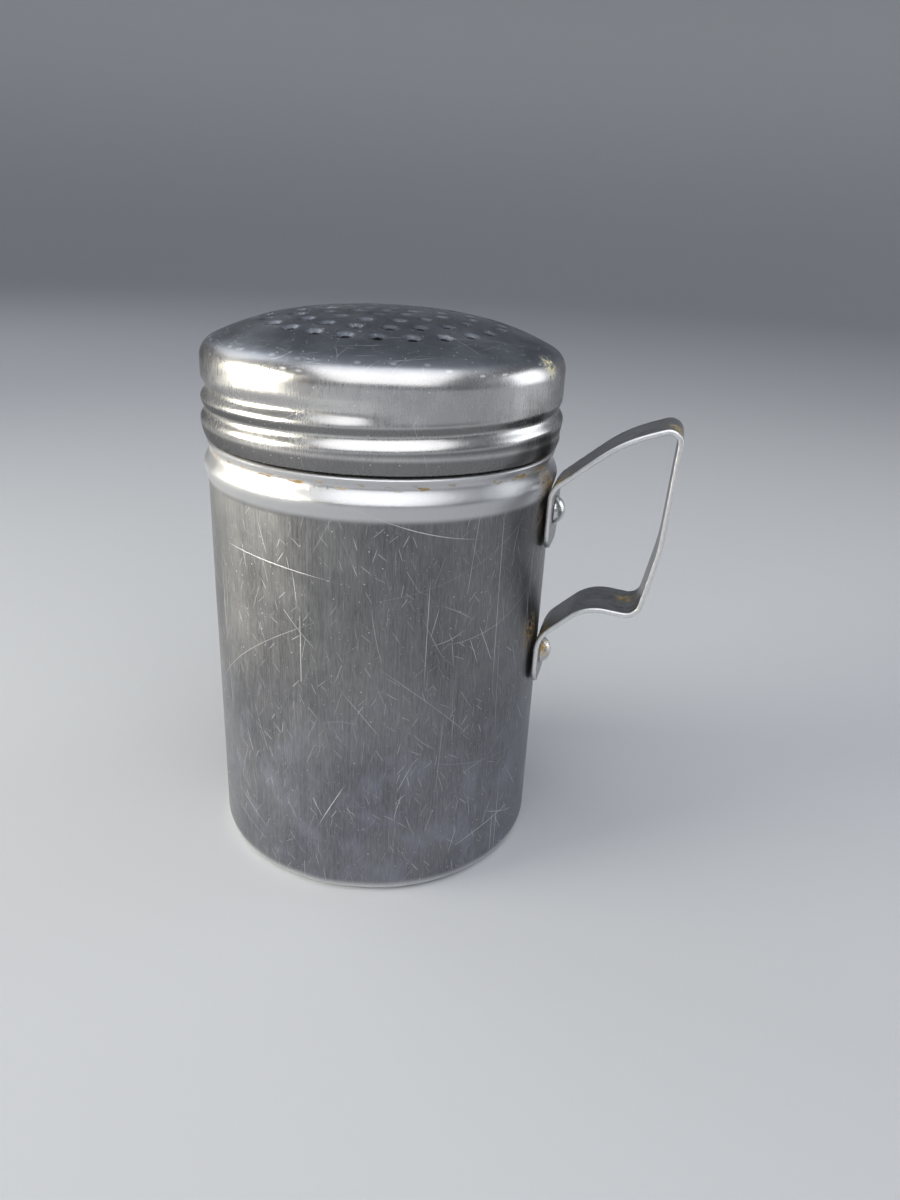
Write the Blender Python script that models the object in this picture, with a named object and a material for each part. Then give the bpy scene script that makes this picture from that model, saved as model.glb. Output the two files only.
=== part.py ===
"""Aluminium spice shaker: a drawn cup, a perforated screw lid, a bent strip handle and two rivets.

Frame: origin at the centre of the cup's flat base, +Z up the axis, +X through the handle.
Lengths below are in millimetres; the model is built in metres.
"""

import math

import bmesh
import bpy

MM = 0.001
SEGMENTS = 48  # facets round the axis
GAP = 0.3  # clearance between pieces that touch on the real object

# Cup
CUP_RADIUS = 35.0
CUP_WALL = 0.8
BASE_CORNER = 2.4
BEAD_START_Z = 79.5
BEAD_Z = 83.0
BEAD_RADIUS = 35.7
GROOVE_Z = 86.1
GROOVE_RADIUS = 34.5
COLLAR_Z = 87.2
COLLAR_RADIUS = 34.95
NECK_Z = 88.7
NECK_TOP_Z = 101.0
NECK_RADIUS = 33.6

# Thread, right-handed: a lid that turns anticlockwise from above rises by the pitch each turn
PITCH = 4.1
THREAD_START = math.radians(6)  # where the lid's groove begins
LID_THREAD_Z = 91.4  # height of the lid's groove at THREAD_START
LID_THREAD_END = math.radians(640)
NECK_CREST_RADIUS = 34.3
NECK_THREAD_START = math.radians(-180)
NECK_THREAD_END = math.radians(450)
NECK_BEAD_HALF = 1.15
LID_RIDGE_RADIUS = 34.05  # inner crest of the lid's groove
THREAD_FADE = math.radians(28)
THREAD_ROWS = 6  # rows of facets in each pitch

# Lid
LID_WALL = 0.6
LID_EDGE_Z = 88.4
HEM_TOP_Z = 89.3
RIB_RADIUS = 35.9
RIB_Z = 92.0
EDGE_CURL = 0.055  # how fast the skirt draws in below its lowest rib, per mm
BAND_RADIUS = 35.5
BAND_Z = 97.5
LID_GROOVE = 0.6
RIM_Z = 103.2
RIM_CORNER = 4.3
APEX_Z = 112.0
HOLE_RADIUS = 0.85
# Each ring's radius, number of holes and first hole's angle in degrees
HOLE_RINGS = ((0, 1, 0), (5.45, 6, 30), (11.1, 12, 0), (16.9, 18, 10), (22.6, 24, 0))

# Handle: centre line in the XZ plane as corner points with their bend radii
STRIP_WIDTH = 12.7
STRIP_THICK = 1.0
TAB_CORNER = 4.5
TAB_X = CUP_RADIUS + GAP + STRIP_THICK / 2
HANDLE_PATH = (
    (TAB_X, 68.8, 0),
    (TAB_X, 81.5, 4.0),
    (48.2, 92.1, 28.0),
    (58.7, 96.0, 2.2),
    (57.7, 72.0, 40.0),
    (55.0, 57.8, 3.0),
    (44.8, 58.6, 9.0),
    (TAB_X, 50.2, 7.0),
    (TAB_X, 38.8, 0),
)

# Rivets
RIVET_HEIGHTS = (("rivet_upper", 76.2), ("rivet_lower", 45.0))
RIVET_SHANK = 1.5
RIVET_HEAD_RADIUS = 2.9
RIVET_HEAD_HEIGHT = 2.0
RIVET_TAIL_RADIUS = 2.3
RIVET_TAIL_HEIGHT = 0.9


def material(name, colour, roughness):
    made = bpy.data.materials.new(name)
    made.use_nodes = True
    shader = made.node_tree.nodes["Principled BSDF"]
    shader.inputs["Base Color"].default_value = (*colour, 1)
    shader.inputs["Metallic"].default_value = 1.0
    shader.inputs["Roughness"].default_value = roughness
    return made


def add_object(name, mesh, finish=None):
    made = bpy.data.objects.new(name, mesh)
    bpy.context.scene.collection.objects.link(made)
    if finish:
        mesh.materials.append(finish)
        mesh.shade_smooth()
        mesh.set_sharp_from_angle(angle=math.radians(35))
    return made


def mesh_of(name, points, faces):
    mesh = bpy.data.meshes.new(name)
    mesh.from_pydata([tuple(MM * c for c in point) for point in points], [], faces)
    mesh.validate()
    return mesh


def turned_mesh(name, profile_at, segments):
    """Turns a profile about Z. profile_at(angle) lists (radius, height) in walking order.

    A profile that starts and ends on the axis makes a solid with two poles. Any other
    profile is a closed loop and makes a ring. The profile runs with its metal on the left.
    """
    angles = [math.tau * i / segments for i in range(segments)]
    profiles = [profile_at(angle) for angle in angles]
    count = len(profiles[0])
    has_poles = profiles[0][0][0] == 0
    points = []
    index = {}
    for j in range(count):
        on_axis = profiles[0][j][0] == 0
        for i, angle in enumerate(angles):
            radius, height = profiles[i][j]
            if on_axis and i:
                index[i, j] = index[0, j]
                continue
            index[i, j] = len(points)
            points.append((radius * math.cos(angle), radius * math.sin(angle), height))
    faces = []
    for j in range(count - 1 if has_poles else count):
        k = (j + 1) % count
        for i in range(segments):
            n = (i + 1) % segments
            corners = [index[i, j], index[n, j], index[n, k], index[i, k]]
            faces.append(list(dict.fromkeys(corners)))
    return mesh_of(name, points, faces)


def arc(centre, radius, start, end, steps):
    """Points on an arc from angle start to end, in degrees, both included."""
    angles = [math.radians(start + (end - start) * i / steps) for i in range(steps + 1)]
    return [(centre[0] + radius * math.cos(a), centre[1] + radius * math.sin(a)) for a in angles]


def smooth(x):
    x = min(max(x, 0.0), 1.0)
    return x * x * (3 - 2 * x)


def rows(low, high):
    """Heights from low to high, THREAD_ROWS to a pitch."""
    count = math.ceil((high - low) * THREAD_ROWS / PITCH)
    return [low + (high - low) * i / count for i in range(count + 1)]


def thread_share(angle, height, first_z, start, end, half_width):
    """How much of the full thread is at this place, 0 to 1, with ends that fade out."""
    most = 0.0
    turns = range(math.floor(start / math.tau) - 1, math.ceil(end / math.tau) + 1)
    for turn in turns:
        unwound = angle + turn * math.tau
        fade = smooth((unwound - start) / THREAD_FADE + 0.5) * smooth((end - unwound) / THREAD_FADE + 0.5)
        offset = height - (first_z + PITCH * (unwound - THREAD_START) / math.tau)
        if fade > 0 and abs(offset) < half_width:
            most = max(most, fade * math.cos(math.pi * offset / (2 * half_width)) ** 2)
    return most


def lid_groove_share(angle, height):
    return thread_share(angle, height, LID_THREAD_Z, THREAD_START, LID_THREAD_END, PITCH / 2)


def neck_radius(angle, height):
    share = thread_share(
        angle, height, LID_THREAD_Z + PITCH / 2, NECK_THREAD_START, NECK_THREAD_END, NECK_BEAD_HALF
    )
    return NECK_RADIUS + (NECK_CREST_RADIUS - NECK_RADIUS) * share


def skirt_radius(height):
    """The lid's outer radius where it has no groove: drawn in at the edge, widest at the ribs."""
    drawn_in = EDGE_CURL * max(RIB_Z - height, 0) ** 2
    to_band = smooth((height - RIB_Z - 2) / (BAND_Z - RIB_Z - 2))
    return RIB_RADIUS - drawn_in - (RIB_RADIUS - BAND_RADIUS) * to_band


def shoulder_points():
    """The cup's outside between its straight wall and its neck: a bead, a groove and a collar."""
    knots = (
        (BEAD_START_Z, CUP_RADIUS),
        (BEAD_Z, BEAD_RADIUS),
        (GROOVE_Z, GROOVE_RADIUS),
        (COLLAR_Z, COLLAR_RADIUS),
        (NECK_Z, NECK_RADIUS),
    )
    points = []
    for (z0, r0), (z1, r1) in zip(knots, knots[1:]):
        points += [(r0 + (r1 - r0) * smooth(i / 4), z0 + (z1 - z0) * i / 4) for i in range(4)]
    return points


def cup_profile(angle):
    inner = CUP_RADIUS - CUP_WALL
    bore = NECK_RADIUS - CUP_WALL
    corner = (CUP_RADIUS - BASE_CORNER, BASE_CORNER)
    outside = [(0, 0)] + arc(corner, BASE_CORNER, -90, 0, 5) + shoulder_points()
    outside += [(neck_radius(angle, z), z) for z in rows(NECK_Z, NECK_TOP_Z - 0.4)]
    lip = [(NECK_RADIUS - 0.3, NECK_TOP_Z), (bore + 0.2, NECK_TOP_Z), (bore, NECK_TOP_Z - 0.3)]
    inside = [(bore, NECK_Z + 0.2)]
    inside += [(r - CUP_WALL, z) for r, z in reversed(shoulder_points()[0:15:2])]
    inside += arc(corner, BASE_CORNER - CUP_WALL, 0, -90, 4)
    inside += [(inner * 0.5, CUP_WALL), (0, CUP_WALL)]
    return outside + lip + inside


def dome_points(thickness, radii_step):
    """The lid's top from the rim corner to the apex, as a corner arc tangent to a shallow dome."""
    centre_r = BAND_RADIUS - RIM_CORNER
    rise = APEX_Z - RIM_Z
    dome = (centre_r**2 + rise**2 - RIM_CORNER**2) / (2 * (rise - RIM_CORNER))
    tilt = math.degrees(math.asin(centre_r / (dome - RIM_CORNER)))
    points = arc((centre_r, RIM_Z), RIM_CORNER - thickness, 0, 90 - tilt, 4)
    radius = dome - thickness
    reach = points[-1][0]
    steps = round(reach / radii_step)
    for i in range(steps - 1, -1, -1):
        r = reach * i / steps
        points.append((r, APEX_Z - dome + math.sqrt(radius**2 - r**2)))
    return points


def lid_profile(angle):
    heights = rows(HEM_TOP_Z + GAP, BAND_Z + 3.4)

    def outer(z):
        return skirt_radius(z) - LID_GROOVE * lid_groove_share(angle, z)

    def inner(z):
        plain = skirt_radius(z) - LID_WALL
        return plain + (LID_RIDGE_RADIUS - plain) * lid_groove_share(angle, z)

    outside = [(outer(z), z) for z in heights] + dome_points(0, 4.2)
    inside = [(inner(z), z) for z in heights] + dome_points(LID_WALL, 5.6)
    return inside[::-1] + outside


def hem_profile(_angle):
    heights = [LID_EDGE_Z + 0.15, LID_EDGE_Z + 0.5, HEM_TOP_Z]
    outside = [(skirt_radius(z), z) for z in heights]
    inside = [(skirt_radius(z) - LID_WALL, z) for z in heights]
    edge = skirt_radius(LID_EDGE_Z)
    foot = [(edge - LID_WALL + 0.15, LID_EDGE_Z), (edge - 0.15, LID_EDGE_Z)]
    return foot + outside + inside[::-1]


def cylinder_mesh(name, places, radius, low, high, sides):
    """One mesh of upright cylinders, one at each (x, y), from height low to high."""
    points = []
    faces = []
    for x, y in places:
        first = len(points)
        for z in (low, high):
            for i in range(sides):
                a = math.tau * (i + 0.5) / sides
                points.append((x + radius * math.cos(a), y + radius * math.sin(a), z))
        faces.append([first + i for i in reversed(range(sides))])
        faces.append([first + sides + i for i in range(sides)])
        for i in range(sides):
            n = (i + 1) % sides
            faces.append([first + i, first + n, first + sides + n, first + sides + i])
    return mesh_of(name, points, faces)


def helper(name, mesh):
    made = add_object(name, mesh)
    made.hide_render = True
    made.display_type = "WIRE"
    return made


def cut(target, cutter):
    modifier = target.modifiers.new(cutter.name, "BOOLEAN")
    modifier.operation = "DIFFERENCE"
    modifier.solver = "EXACT"
    modifier.object = cutter


def hole_places():
    """Shaker holes on concentric rings about the apex."""
    places = []
    for radius, count, first_degrees in HOLE_RINGS:
        for i in range(count):
            a = math.radians(first_degrees) + math.tau * i / count
            places.append((radius * math.cos(a), radius * math.sin(a)))
    return places


def rounded_path(corners):
    """A flat path through (x, z, bend radius) corners, with each bend as an arc."""
    path = [(corners[0][0], corners[0][1])]
    for before, corner, after in zip(corners, corners[1:], corners[2:]):
        x, z, radius = corner
        into = math.atan2(z - before[1], x - before[0])
        out = math.atan2(after[1] - z, after[0] - x)
        turn = math.remainder(out - into, math.tau)
        back = radius * math.tan(abs(turn) / 2)
        side = math.copysign(1, turn)
        start = (x - back * math.cos(into), z - back * math.sin(into))
        centre = (start[0] - side * radius * math.sin(into), start[1] + side * radius * math.cos(into))
        steps = max(3, math.ceil(abs(turn) / math.radians(13)))
        for i in range(steps + 1):
            heading = into + turn * i / steps
            path.append(
                (centre[0] + side * radius * math.sin(heading), centre[1] - side * radius * math.cos(heading))
            )
    path.append((corners[-1][0], corners[-1][1]))
    return path


def with_end_stations(path):
    """Adds points near both ends, where the tabs' corners are rounded."""
    depths = [TAB_CORNER * (1 - math.cos(math.radians(a))) for a in (20, 40, 60, 80, 90)]
    (x0, z0), (x1, z1) = path[0], path[-1]
    start = [(x0, z0 + depth) for depth in depths]
    end = [(x1, z1 + depth) for depth in reversed(depths)]
    return [path[0]] + start + path[1:-1] + end + [path[-1]]


def half_width(x, z):
    """Half the strip's width, less near the rounded end of each tab."""
    for end_z in (HANDLE_PATH[0][1], HANDLE_PATH[-1][1]):
        depth = z - end_z
        if abs(x - TAB_X) < 0.01 and 0 <= depth < TAB_CORNER:
            cut_back = TAB_CORNER - math.sqrt(TAB_CORNER**2 - (TAB_CORNER - depth) ** 2)
            return STRIP_WIDTH / 2 - cut_back
    return STRIP_WIDTH / 2


def handle_mesh():
    """The strip's section carried along its centre line."""
    path = with_end_stations(rounded_path(HANDLE_PATH))
    points = []
    for i, (x, z) in enumerate(path):
        before = path[max(i - 1, 0)]
        after = path[min(i + 1, len(path) - 1)]
        heading = math.atan2(after[1] - before[1], after[0] - before[0])
        nx, nz = -math.sin(heading) * STRIP_THICK / 2, math.cos(heading) * STRIP_THICK / 2
        half = half_width(x, z)
        points += [(x + nx, -half, z + nz), (x + nx, half, z + nz)]
        points += [(x - nx, half, z - nz), (x - nx, -half, z - nz)]
    faces = [[0, 1, 2, 3]]
    for i in range(len(path) - 1):
        a = 4 * i
        for j in range(4):
            k = (j + 1) % 4
            faces.append([a + j, a + 4 + j, a + 4 + k, a + k])
    last = 4 * (len(path) - 1)
    faces.append([last + 3, last + 2, last + 1, last])
    mesh = mesh_of("handle", points, faces)
    shape = bmesh.new()
    shape.from_mesh(mesh)
    bmesh.ops.recalc_face_normals(shape, faces=shape.faces)
    shape.to_mesh(mesh)
    shape.free()
    return mesh


def rivet_profile(_angle):
    """A domed head outside the tab, a shank through tab and wall, and a flattened tail inside."""
    tab_face = TAB_X + STRIP_THICK / 2 + GAP
    wall_face = CUP_RADIUS - CUP_WALL - GAP - 0.1
    dome = (RIVET_HEAD_RADIUS**2 + RIVET_HEAD_HEIGHT**2) / (2 * RIVET_HEAD_HEIGHT)
    points = [(0, wall_face - RIVET_TAIL_HEIGHT), (RIVET_TAIL_RADIUS - 0.3, wall_face - RIVET_TAIL_HEIGHT)]
    points += [(RIVET_TAIL_RADIUS, wall_face - RIVET_TAIL_HEIGHT / 2), (RIVET_TAIL_RADIUS, wall_face)]
    points += [(RIVET_SHANK, wall_face), (RIVET_SHANK, tab_face), (RIVET_HEAD_RADIUS, tab_face)]
    for i in range(1, 5):
        radius = RIVET_HEAD_RADIUS * math.cos(math.radians(90 * i / 4))
        height = math.sqrt(dome**2 - radius**2) - dome + RIVET_HEAD_HEIGHT
        points.append((radius if i < 4 else 0, tab_face + height))
    return points


def lay_along_x(made, height):
    """Turns a piece made about Z so that its axis lies along +X at this height."""
    made.rotation_euler = (0, math.radians(90), 0)
    made.location = (0, 0, height * MM)


def clear_scene():
    for existing in list(bpy.data.objects):
        bpy.data.objects.remove(existing, do_unlink=True)


def build():
    clear_scene()
    cup_metal = material("worn_aluminium", (0.33, 0.33, 0.35), 0.36)
    lid_metal = material("polished_aluminium", (0.58, 0.58, 0.58), 0.26)
    handle_metal = material("rolled_aluminium", (0.36, 0.36, 0.37), 0.34)
    rivet_metal = material("rivet_aluminium", (0.72, 0.72, 0.73), 0.24)

    cup = add_object("cup", turned_mesh("cup", cup_profile, SEGMENTS), cup_metal)
    lid = add_object("lid", turned_mesh("lid", lid_profile, SEGMENTS), lid_metal)
    add_object("lid_hem", turned_mesh("lid_hem", hem_profile, SEGMENTS), lid_metal)
    handle = add_object("handle", handle_mesh(), handle_metal)

    holes = cylinder_mesh("shaker_holes", hole_places(), HOLE_RADIUS, RIM_Z, APEX_Z + 3, 8)
    cut(lid, helper("shaker_holes", holes))

    for name, height in RIVET_HEIGHTS:
        rivet = add_object(name, turned_mesh(name, rivet_profile, 16), rivet_metal)
        lay_along_x(rivet, height)
        bore = cylinder_mesh(f"{name}_bore", [(0, 0)], RIVET_SHANK + GAP, 30, 40, 16)
        cutter = helper(f"{name}_bore", bore)
        lay_along_x(cutter, height)
        cut(cup, cutter)
        cut(handle, cutter)


build()
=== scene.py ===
"""Looks of the worn aluminium spice shaker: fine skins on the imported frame, metals, light and camera.

Lengths are in millimetres unless a name says otherwise; the scene is in metres, +Z up, handle on +X.
Angles round the axis are in radians from +X, anticlockwise from above.
"""

import math

import bpy
import numpy as np
from mathutils import Matrix, Vector
from mathutils.geometry import delaunay_2d_cdt


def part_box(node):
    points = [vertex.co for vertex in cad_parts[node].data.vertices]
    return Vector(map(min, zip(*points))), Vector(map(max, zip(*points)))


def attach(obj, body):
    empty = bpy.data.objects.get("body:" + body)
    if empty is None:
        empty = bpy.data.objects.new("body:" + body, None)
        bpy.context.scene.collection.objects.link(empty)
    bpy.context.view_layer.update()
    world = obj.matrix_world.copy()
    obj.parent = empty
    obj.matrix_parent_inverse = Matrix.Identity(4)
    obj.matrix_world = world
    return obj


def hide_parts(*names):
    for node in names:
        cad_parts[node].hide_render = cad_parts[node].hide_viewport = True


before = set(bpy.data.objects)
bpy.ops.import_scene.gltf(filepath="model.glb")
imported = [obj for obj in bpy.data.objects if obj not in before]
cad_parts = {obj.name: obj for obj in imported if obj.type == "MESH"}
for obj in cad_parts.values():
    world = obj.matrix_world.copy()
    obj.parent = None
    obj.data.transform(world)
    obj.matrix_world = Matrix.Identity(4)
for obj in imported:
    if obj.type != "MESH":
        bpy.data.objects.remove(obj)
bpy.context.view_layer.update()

MM = 0.001
AROUND = 288  # points round the axis
SHEET = 0.6  # thickness of the lid's sheet

# The CAD parts' driving sizes. Three differ on purpose: here the collar is 0.3 mm higher, the lid's groove
# 0.2 mm deeper and its rim 0.5 mm lower.
GAP = 0.3
CUP_RADIUS = 35.0
CUP_WALL = 0.8
BASE_CORNER = 2.4
BEAD_START_Z, BEAD_Z, BEAD_RADIUS = 79.5, 83.0, 35.7
GROOVE_Z, GROOVE_RADIUS = 86.1, 34.5
COLLAR_Z, COLLAR_RADIUS = 87.5, 34.95
NECK_Z, NECK_RADIUS = 88.7, 33.6
NECK_TOP_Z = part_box("cup")[1].z / MM
PITCH = 4.1
THREAD_START = math.radians(6)
THREAD_FADE = math.radians(28)
LID_THREAD_Z = 91.4
LID_THREAD_END = math.radians(640)
NECK_CREST = 0.7
NECK_THREAD_START, NECK_THREAD_END = math.radians(-180), math.radians(450)
NECK_BEAD_HALF = 1.15
LID_EDGE_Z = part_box("lid_hem")[0].z / MM
RIB_RADIUS, RIB_Z = 35.9, 92.0
EDGE_CURL = 0.055
BAND_RADIUS, BAND_Z = 35.5, 97.5
LID_GROOVE = 0.8
RIM_Z, RIM_CORNER = 102.7, 4.3
APEX_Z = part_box("lid")[1].z / MM
HOLE_RADIUS = 0.85
# Each ring's radius, number of holes and first hole's angle in degrees
HOLE_RINGS = ((0, 1, 0), (5.45, 6, 30), (11.1, 12, 0), (16.9, 18, 10), (22.6, 24, 0))
STRIP_WIDTH, STRIP_THICK = 12.7, 1.0
TAB_CORNER = 4.5
TAB_X = CUP_RADIUS + GAP + STRIP_THICK / 2
HANDLE_PATH = (
    (TAB_X, 68.8, 0),
    (TAB_X, 81.5, 4.0),
    (48.2, 92.1, 28.0),
    (58.7, 96.0, 2.2),
    (57.7, 72.0, 40.0),
    (55.0, 57.8, 3.0),
    (44.8, 58.6, 9.0),
    (TAB_X, 50.2, 7.0),
    (TAB_X, 38.8, 0),
)
RIVET_HEIGHTS = {"rivet_upper": 76.2, "rivet_lower": 45.0}
RIVET_HEAD_RADIUS, RIVET_HEAD_HEIGHT = 2.9, 2.0
RIVET_TAIL_RADIUS, RIVET_TAIL_HEIGHT = 2.3, 0.9
RIVET_SHANK = 1.5

# How far the skins are drawn in, to offset their unevenness
WALL_INSET, SKIRT_INSET, TOP_INSET = 0.05, 0.03, 0.02

# Dome detail
DOME_EDGE_SLOPE = math.radians(27)  # the dome's slope where it meets the rim corner
DOME_LEAN = math.radians(2.4)  # the punched top leans a little towards DOME_LEAN_TO
DOME_LEAN_TO = math.radians(-72)
DIMPLE_RADIUS = 2.0
DIMPLE_DEPTH = 0.46
DOME_MESH_RADIUS = 27.0  # inside this the lid is a triangle mesh with holes in it

rng = np.random.default_rng(7)


# ---------------------------------------------------------------- camera, floor and light


def set_camera():
    """A wide view from close by, a little above the shaker."""
    azimuth, distance, height = math.radians(-72), 176.5, 126.6
    heading, pitch, roll = math.radians(13.05), math.radians(23.04), math.radians(2.97)
    forward = Vector(
        (-math.sin(heading) * math.cos(pitch), math.cos(heading) * math.cos(pitch), -math.sin(pitch))
    )
    level = Vector((math.cos(heading), math.sin(heading), 0))
    upward = level.cross(forward)
    right = math.cos(roll) * level + math.sin(roll) * upward
    up = -math.sin(roll) * level + math.cos(roll) * upward
    data = bpy.data.cameras.new("camera")
    data.lens, data.sensor_width = 26.0, 36
    data.clip_start = 0.005
    camera = bpy.data.objects.new("camera", data)
    bpy.context.scene.collection.objects.link(camera)
    place = Vector((distance * math.cos(azimuth), distance * math.sin(azimuth), height)) * MM
    turn = Matrix((right, up, -forward)).transposed().to_4x4()
    camera.matrix_world = Matrix.Translation(place) @ turn
    bpy.context.scene.camera = camera


def set_floor():
    """A flat pale floor that curves up all round into a plain backdrop, which glows a little."""
    flat_radius, cove_radius, top, around = 1.7, 1.3, 3.0, 96
    cove = [math.radians(6 * i) for i in range(16)]
    profile = [(flat_radius + cove_radius * math.sin(a), cove_radius * (1 - math.cos(a))) for a in cove]
    profile.append((flat_radius + cove_radius, top))
    turn = [math.tau * i / around for i in range(around)]
    points = [(r * math.cos(a), r * math.sin(a), z) for r, z in profile for a in turn]
    faces = [tuple(range(around))]
    for j in range(len(profile) - 1):
        for i in range(around):
            n = (i + 1) % around
            faces.append((j * around + i, (j + 1) * around + i, (j + 1) * around + n, j * around + n))
    mesh = bpy.data.meshes.new("floor")
    mesh.from_pydata(points, [], faces)
    mesh.shade_smooth()
    floor = bpy.data.objects.new("floor", mesh)
    bpy.context.scene.collection.objects.link(floor)

    paint = Nodes("floor_paint")
    glow = paint.ramp(paint.part(paint.place(), 2), 0.0, 700.0, 0.0, 0.07)
    paint.feed(paint.shader.inputs["Base Color"], (0.48, 0.49, 0.51))
    paint.feed(paint.shader.inputs["Roughness"], 0.9)
    paint.feed(paint.shader.inputs["Specular IOR Level"], 0.1)
    paint.feed(paint.shader.inputs["Emission Color"], (0.95, 0.98, 1.0))
    paint.feed(paint.shader.inputs["Emission Strength"], glow)
    mesh.materials.append(paint.material)


def area_light(name, azimuth, elevation, distance, size, watts, colour, spread=180):
    """A rectangular soft box that faces the shaker. Distance and size are in metres, angles in degrees."""
    data = bpy.data.lights.new(name, "AREA")
    data.shape = "RECTANGLE"
    data.size, data.size_y = size
    data.energy = watts
    data.color = colour
    data.spread = math.radians(spread)
    made = bpy.data.objects.new(name, data)
    a, e = math.radians(azimuth), math.radians(elevation)
    back = Vector((math.cos(a) * math.cos(e), math.sin(a) * math.cos(e), math.sin(e)))
    made.location = back * distance + Vector((0, 0, 0.06))
    made.rotation_euler = back.to_track_quat("Z", "Y").to_euler()
    made.visible_camera = False
    bpy.context.scene.collection.objects.link(made)


WORLD_LOW, WORLD_HIGH = (0.30, 0.31, 0.33, 1), (0.36, 0.38, 0.42, 1)


def set_world():
    """A studio that is dim at eye level, where it meets the far floor, and brighter overhead."""
    world = bpy.data.worlds.new("studio")
    world.use_nodes = True
    tree = world.node_tree
    way = tree.nodes.new("ShaderNodeTexCoord")
    split = tree.nodes.new("ShaderNodeSeparateXYZ")
    rise = tree.nodes.new("ShaderNodeMapRange")
    blend = tree.nodes.new("ShaderNodeMix")
    blend.data_type = "RGBA"
    rise.inputs["From Min"].default_value, rise.inputs["From Max"].default_value = 0.02, 0.8
    blend.inputs[6].default_value = WORLD_LOW
    blend.inputs[7].default_value = WORLD_HIGH
    tree.links.new(way.outputs["Generated"], split.inputs[0])
    tree.links.new(split.outputs["Z"], rise.inputs["Value"])
    tree.links.new(rise.outputs[0], blend.inputs[0])
    tree.links.new(blend.outputs[2], tree.nodes["Background"].inputs["Color"])
    bpy.context.scene.world = world


def set_light():
    """One large soft box over the camera's shoulder, and three smaller ones for the window highlights."""
    area_light("overhead", -72, 52, 0.9, (1.2, 1.4), 8.5, (0.97, 0.98, 1.0))
    area_light("left_window", -153, 10, 0.75, (0.50, 0.35), 2.0, (1.0, 0.96, 0.82), 80)
    area_light("right_window", 28, 12, 0.9, (0.5, 0.6), 0.6, (0.92, 0.96, 1.0), 90)
    area_light("back_window", 160, 40, 1.2, (0.6, 0.6), 2.0, (0.96, 0.98, 1.0))
    set_world()
    bpy.context.scene.view_settings.view_transform = "Standard"


# ---------------------------------------------------------------- node helpers


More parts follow.
